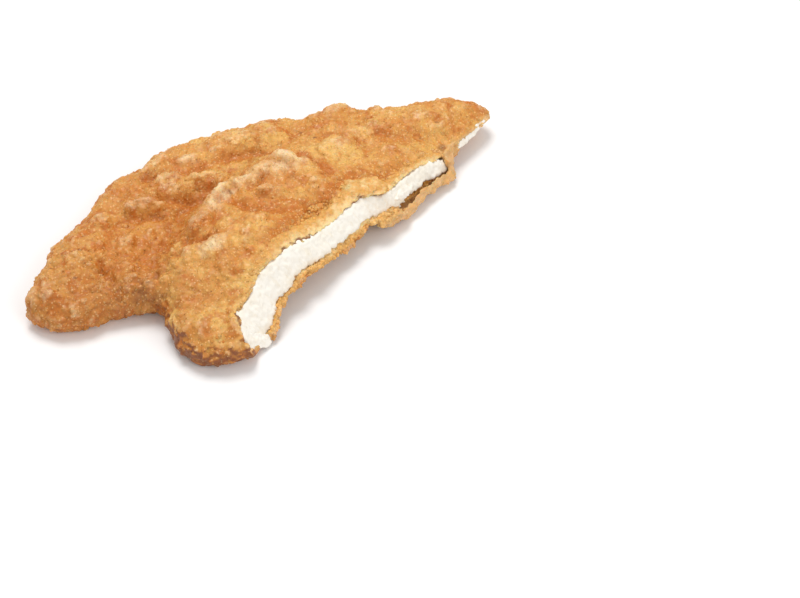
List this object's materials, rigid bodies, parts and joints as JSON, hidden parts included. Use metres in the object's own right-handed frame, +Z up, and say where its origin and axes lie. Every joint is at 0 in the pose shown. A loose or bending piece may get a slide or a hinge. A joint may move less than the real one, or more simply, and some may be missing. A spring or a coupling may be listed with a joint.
{
  "type": "schnitzel",
  "caption": "Breaded chicken schnitzel with one long side cut away, so that the white meat shows inside its crumb coat.",
  "frame": {"origin": "under the middle of the piece's box, on the surface that it rests on", "axes": "+Z up, +X along the longer side of the box, +Y towards the uncut back edge"},
  "size_m": [0.1346, 0.1084, 0.0192],
  "materials": {
    "crumb_coat": "rough fried breadcrumbs",
    "chicken_meat": "moist cooked white meat"
  },
  "bodies": {
    "root": {"breadcrumb_coat": "crumb_coat", "chicken_breast": "chicken_meat"}
  },
  "joints": []
}
